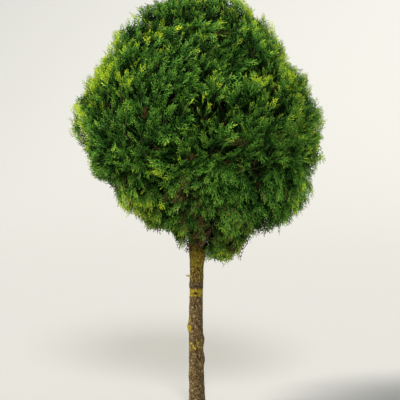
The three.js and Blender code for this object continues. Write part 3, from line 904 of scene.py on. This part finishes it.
def leaflets_of(layer, sprays, random):
    """The leaflets of a layer's sprays: their mass's number, corners and colour numbers."""
    count = len(sprays.roots)
    kind = random.integers(len(SPRAY_SEEDS), size=count)
    sprays.bend = random.normal(*SPRAY_BEND, count)
    sprays.cup = random.normal(*SPRAY_CUP, count)
    sprays.droop = random.uniform(*SPRAY_DROOP, count)
    sprays.dead = random.random(count) < tired_share(along_them(sprays, SPRAY_SEEN))
    for k, seed in enumerate(SPRAY_SEEDS):
        template, places = spray_template(seed, layer.pairs, layer.width)
        for number in range(len(MASSES)):
            some = chosen_from(sprays, (kind == k) & (sprays.owner == number))
            corners = place_sprays(template, some)
            tones = leaf_tones(corners, places, some.sink, random)
            brown = random.choice([DEAD, RUST], tones.shape)
            tones = np.where(some.dead[:, None], brown, tones)
            yield number, corners.reshape(-1, 4, 3), tones.ravel()


# Materials

def make_materials():
    made = {name: plain_material("leaf_" + name, colour, *LEAF_FINISH)
            for name, colour in LEAF_COLOURS.items()}
    for name, (colour, roughness) in PLAIN_COLOURS.items():
        made[name] = plain_material(name, colour, roughness)
    made["branch_bark"] = bark_material("branch_bark", BOUGH_TONES, with_masks=False)
    made["stem_bark"] = bark_material("stem_bark", STEM_TONES, with_masks=True)
    return made


def plain_material(name, colour, roughness, gloss=0.3):
    material = bpy.data.materials.new(name)
    material.use_nodes = True
    shader = material.node_tree.nodes["Principled BSDF"]
    shader.inputs["Base Color"].default_value = (*colour, 1)
    shader.inputs["Roughness"].default_value = roughness
    shader.inputs["Specular IOR Level"].default_value = gloss
    return material


def feed(node, **inputs):
    """The same node, its inputs linked to sockets or set to plain values."""
    for label, value in inputs.items():
        if isinstance(value, bpy.types.NodeSocket):
            node.id_data.links.new(value, node.inputs[label])
        else:
            node.inputs[label].default_value = value
    return node


def noise_node(tree, flatness, scale, detail, roughness=0.5):
    """Noise on the plant, drawn out upwards where flatness is under 1."""
    place = tree.nodes.new("ShaderNodeTexCoord").outputs["Object"]
    mapping = feed(tree.nodes.new("ShaderNodeMapping"), Vector=place, Scale=(1, 1, flatness))
    noise = feed(tree.nodes.new("ShaderNodeTexNoise"), Vector=mapping.outputs["Vector"], Scale=scale,
                 Detail=detail, Roughness=roughness)
    return noise.outputs["Fac"]


def mesh_mask(tree, name):
    mask = tree.nodes.new("ShaderNodeAttribute")
    mask.attribute_name = name
    return mask.outputs["Fac"]


def ramp(tree, factor, places, tones):
    """Tones at places of a factor, blended between."""
    node = feed(tree.nodes.new("ShaderNodeValToRGB"), Fac=factor)
    stops = node.color_ramp.elements
    while len(stops) < len(places):
        stops.new(1)
    for stop, place, tone in zip(stops, places, tones):
        stop.position = place
        stop.color = (*tone, 1)
    return node.outputs["Color"]


def step_up(tree, factor, low, high):
    """0 where a factor is low, 1 where it is high."""
    return ramp(tree, factor, (low, high), [(0, 0, 0), (1, 1, 1)])


def mixed(tree, factor, first, second):
    """A blend of two colours, each a socket or plain."""
    node = tree.nodes.new("ShaderNodeMix")
    node.data_type = "RGBA"
    return feed(node, Factor=factor, A=first, B=second).outputs["Result"]


def bark_material(name, tones, with_masks):
    """Mottled bark, its tones from cracks to flakes. The mesh's masks lay lichen on it, and painted shade in
    the scars' sunk hearts and along a crease.
    """
    material = plain_material(name, tones[1], roughness=0.92)
    tree = material.node_tree
    shader = tree.nodes["Principled BSDF"]
    strands = noise_node(tree, 0.5, scale=190, detail=6, roughness=0.7)
    fibre = ramp(tree, strands, (0.38, 0.48, 0.6), tones)
    flakes = step_up(tree, noise_node(tree, 0.8, scale=150, detail=3, roughness=0.6), 0.56, 0.64)
    specks = step_up(tree, noise_node(tree, 1, scale=300, detail=2), 0.58, 0.66)
    colour = mixed(tree, flakes, fibre, (*tones[3], 1))
    colour = mixed(tree, specks, colour, (*tones[0], 1))
    if with_masks:
        colour = mixed(tree, lichen_cover(tree), colour, lichen_gold(tree))
        # painted shade in the scars' sunk hearts and along the crease
        colour = mixed(tree, mesh_mask(tree, "scars"), colour, (*PAINTED_SHADE_COLOUR, 1))
    tree.links.new(colour, shader.inputs["Base Color"])
    grain = noise_node(tree, 0.35, scale=330, detail=5)
    bump = feed(tree.nodes.new("ShaderNodeBump"), Height=grain, Strength=0.7, Distance=0.0012)
    feed(shader, Normal=bump.outputs["Normal"])
    return material


def lichen_cover(tree):
    """Crusts of lichen, wider where the mesh's lichen mask is high."""
    grow = tree.nodes.new("ShaderNodeMath")
    grow.operation = "ADD"
    tree.links.new(mesh_mask(tree, "lichen"), grow.inputs[0])
    tree.links.new(noise_node(tree, 0.8, scale=150, detail=5, roughness=0.65), grow.inputs[1])
    return step_up(tree, grow.outputs["Value"], 0.86, 0.94)


def lichen_gold(tree):
    grains = noise_node(tree, 1, scale=260, detail=3)
    return ramp(tree, grains, (0.36, 0.5, 0.66), LICHEN_TONES)


# Leaves and twigs

def build_leaves(materials, random):
    """One piece of leaves for each mass. Returns the shoots that bear them."""
    pools = [[] for _ in MASSES]
    bearing = []
    for layer in LAYERS:
        shoots = grow_shoots(layer, random)
        sprays = fit_sprays(spread_sprays(shoots, random), random)
        bearing.append(chosen_from(shoots, leafy(shoots, sprays)))
        for number, corners, tones in leaflets_of(layer, sprays, random):
            pools[number].append((corners, tones))
    colours = [materials[name] for name in LEAF_COLOURS]
    for mass, pool in zip(MASSES, pools):
        corners, tones = (np.concatenate(kind) for kind in zip(*pool))
        first = np.arange(len(corners))[:, None] * 4
        faces = np.r_[first + [0, 1, 2], first + [0, 2, 3]]
        leaves = make_object(f"leaves_{mass.name}", corners, faces, colours, np.tile(tones, 2))
        fix_to_plant(leaves, f"foliage_{mass.name}")
    return gathered(bearing)


def branch_lines(mass):
    """Branches from a mass's middle to the feet of the source's sprays."""
    feet, along = source_branches(mass)
    bend = feet - along * BRANCH_BOW * norm(feet - mass.middle)[:, None]
    return bezier(np.broadcast_to(mass.middle, feet.shape), bend, feet, len(BRANCH_RADII))


def twig_lines(shoots, holds):
    """Twigs from their nearest hold to the shoots' feet, and on along the shoots."""
    nearest = norm(shoots.roots[:, None] - holds).argmin(1)
    starts = holds[nearest]
    reach = norm(shoots.roots - starts)[:, None]
    bend = shoots.roots - shoots.along * TWIG_BOW * reach
    twigs = bezier(starts, bend, shoots.roots, len(TWIG_RADII) - 1)
    return np.concatenate([twigs, along_them(shoots, SHOOT_LEAFY)[:, None]], axis=1)


def build_twigs(shoots, materials):
    """One piece for each mass: its stem, branches, twigs and shoots."""
    sides, stem_rings = 3, 10
    for number, mass in enumerate(MASSES):
        own = chosen_from(shoots, shoots.owner == number)
        branches = branch_lines(mass)
        stem_radius = mass.limb.r * BOUGH_TAPER if mass.limb else TRUNK[-1, 1]
        points, faces = joined([
            tubes(branches, BRANCH_RADII, sides=5),
            tubes(stem_points(mass, stem_rings)[None],
                  np.linspace(stem_radius, STEM_END_RADIUS, stem_rings), sides=8),
            tubes(twig_lines(own, holds=branches[:, 2:].reshape(-1, 3)), TWIG_RADII, sides),
        ])
        twig_materials = np.tile(np.repeat([0, 0, 0, 1], sides), len(own.roots))
        face_materials = np.r_[np.zeros(len(faces) - len(twig_materials), int), twig_materials]
        twigs = make_object(f"twigs_{mass.name}", points, faces, [materials["twig_bark"], materials["shoot"]],
                            face_materials, smooth=True)
        fix_to_plant(twigs)


# Trunk and boughs

def noise(across, along, seed, cells):
    """Smooth noise from -1 to 1 that comes round after a number of cells across."""
    rows = 256
    values = np.random.default_rng(seed).uniform(-1, 1, (cells, rows))
    i, j = np.floor(across).astype(int), np.floor(along).astype(int)
    s, t = smoothstep(across - i, 0, 1), smoothstep(along - j, 0, 1)
    this, after = (values[k % cells, j % rows] * (1 - t) + values[k % cells, (j + 1) % rows] * t
                   for k in (i, i + 1))
    return this * (1 - s) + after * s


def bark_relief(turn, along, girth, seed):
    """How far bark stands out at turns round a limb and lengths along it."""
    shares = turn / (2 * math.pi)
    sway = SWAY * noise(shares * SWAY_CELLS, along / SWAY_LENGTH, seed, SWAY_CELLS)
    strips, fibres, plates = (max(round(girth / kind[0]), 3) for kind in (STRIP, FIBRE, PLATE))
    strip = 1 - 2 * np.abs(noise(shares * strips + sway, along / STRIP[1], seed + 1, strips))
    fibre = noise(shares * fibres + 2 * sway, along / FIBRE[1], seed + 2, fibres)
    plate = noise(shares * plates, along / PLATE[1], seed + 3, plates)
    grain = noise(shares * fibres * 2, along / GRAIN_LENGTH, seed + 4, fibres * 2)
    return sum(share * kind for share, kind in zip(BARK_MIX, (strip, fibre, plate, grain)))


def turned_away(around, degrees):
    """How far turns are from one of them, in radians from -pi to pi."""
    return (around - math.radians(degrees) + math.pi) % (2 * math.pi) - math.pi


def wounds(height, around, radius):
    """How far pruning scars stand out, and the painted shade in their sunk hearts and along the crease."""
    relief = np.zeros_like(height)
    # painted shade along the crease and in the scars' sunk hearts
    painted_shade = CREASE_SHADE * near(height - CREASE_HEIGHT - CREASE_SWAY * np.sin(3 * around), CREASE_WIDTH)
    for z, turn, size, rim, heart in WOUNDS:
        away = np.hypot((height - z) * WOUND_SQUAT, turned_away(around, turn) * radius) / size
        relief += rim * near(away - 1, RIM_SPREAD) - heart * near(away, HEART_SPREAD)
        painted_shade += near(away, SHADE_SPREAD)
    return relief, np.clip(painted_shade, 0, 1)


def lichen_mask(height, around, radius):
    """How much lichen grows on the trunk, from 0 to about 1."""
    mask = np.interp(height, *np.array(LICHEN_BANDS).T)
    for z, turn, spread, more in LICHEN_PATCHES:
        mask = mask + more * near(np.hypot(height - z, turned_away(around, turn) * radius), spread)
    return mask


def build_trunk(materials):
    """The trunk, finer below the crown, with masks for its lichen and for painted shade in its scars and
    crease.
    """
    z = np.r_[np.linspace(0, CLOSE_BELOW, CLOSE_RINGS), np.linspace(WIDE_ABOVE, TRUNK_TOP, WIDE_RINGS)]
    height, around = np.meshgrid(z, turns(TRUNK_SIDES), indexing="ij")
    smooth = trunk_radius(height, around)
    relief = TRUNK_RELIEF * bark_relief(around, height, TRUNK_GIRTH, TRUNK_SEED)
    relief = relief * np.clip(smooth / FULL_RELIEF_RADIUS, *RELIEF_SHARES)
    scars, painted_shade = wounds(height, around, smooth)
    radius = smooth + relief + scars - RELIEF_SUNK
    points = trunk_axis(height)
    points[..., 0] += radius * np.cos(around)
    points[..., 1] += radius * np.sin(around)
    trunk = make_object("bark_of_trunk", points, ring_faces(len(z), TRUNK_SIDES), [materials["stem_bark"]],
                        smooth=True)
    # the scars mask carries the painted shade
    for name, values in (("lichen", lichen_mask(height, around, smooth)), ("scars", painted_shade)):
        mask = trunk.data.attributes.new(name, "FLOAT", "POINT")
        mask.data.foreach_set("value", values.astype(np.float32).ravel())
    fix_to_plant(trunk, "trunk")


def build_stub(materials):
    foot, end, radius = STUB
    shares = np.array([1.4, 1.1, 1.0, 1.0, 0.9, 0.05])
    points, faces = tubes(np.linspace(foot, end, len(shares))[None], radius * shares, 10)
    stub = make_object("cut_stub", points, faces, [materials["cut_wood"]], smooth=True)
    fix_to_plant(stub)


def build_boughs(materials):
    """Each bough's bark, from its thick foot in the trunk to the stem of its mass."""
    for number, mass in enumerate(mass for mass in MASSES if mass.limb):
        line = bough_points(mass, BOUGH_RINGS)
        lengths = np.r_[0, np.cumsum(norm(np.diff(line, axis=0)))]
        along, around = np.meshgrid(lengths, turns(BOUGH_SIDES), indexing="ij")
        collar = 1 + COLLAR_SHARE * np.exp(-np.maximum(along - COLLAR_LENGTH, 0) / COLLAR_FADE)
        smooth = mass.limb.r * (1 - (1 - BOUGH_TAPER) * along / lengths[-1]) * collar
        radii = smooth + BOUGH_RELIEF * bark_relief(around, along, BOUGH_GIRTH, BOUGH_SEED + number)
        bough = make_object(f"bark_of_bough_{mass.name}", limb_points(line, radii),
                            ring_faces(BOUGH_RINGS, BOUGH_SIDES), [materials["branch_bark"]], smooth=True)
        fix_to_plant(bough, f"bough_{mass.name}")


# Floor, light and camera

def make_floor(materials):
    """A round floor that turns up into a pale sweep beyond every view's camera."""
    sides, steps = 96, 24
    bend = np.linspace(0, math.pi / 2, steps)
    reach = np.r_[FLOOR_RINGS, SWEEP_START + SWEEP_OUT * np.sin(bend)]
    rise = np.r_[0, 0, SWEEP_UP * (1 - np.cos(bend))]
    reach, turn = np.meshgrid(reach, turns(sides), indexing="ij")
    points = np.stack([reach * np.cos(turn), reach * np.sin(turn), np.repeat(rise[:, None], sides, 1)], -1)
    floor = make_object("floor", points, ring_faces(len(rise), sides), [materials["floor"]], smooth=True)
    floor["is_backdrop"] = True


def point_at(obj, place, aim):
    """Puts a light or camera in the scene, turned from its place towards its aim."""
    obj.location = place
    obj.rotation_euler = (Vector(aim) - Vector(place)).to_track_quat("-Z", "Y").to_euler()
    bpy.context.scene.collection.objects.link(obj)


def make_sun(name, energy, place, softness, colour):
    data = bpy.data.lights.new(name, "SUN")
    data.energy = energy
    data.color = colour
    data.angle = math.radians(softness)
    point_at(bpy.data.objects.new(name, data), place, (0, 0, 0))


def make_camera():
    data = bpy.data.cameras.new("camera")
    data.lens = CAMERA_LENS
    camera = bpy.data.objects.new("camera", data)
    point_at(camera, CAMERA * METRES, CAMERA_AIM * METRES)
    bpy.context.scene.camera = camera


def make_world():
    world = bpy.data.worlds.new("world")
    world.use_nodes = True
    feed(world.node_tree.nodes["Background"], Color=(*SKY_COLOUR, 1), Strength=SKY_STRENGTH)
    bpy.context.scene.world = world


def main():
    materials = make_materials()
    build_trunk(materials)
    build_stub(materials)
    build_boughs(materials)
    shoots = build_leaves(materials, np.random.default_rng(CHANCE))
    build_twigs(shoots, materials)
    make_floor(materials)
    make_world()
    for name, sun in SUNS.items():
        make_sun(name, *sun)
    make_camera()
    bpy.context.scene.view_settings.view_transform = "Standard"


main()
corners = {"cad": cad_box, "visual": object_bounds()}
{name: [list(corner) for corner in box] for name, box in corners.items()}
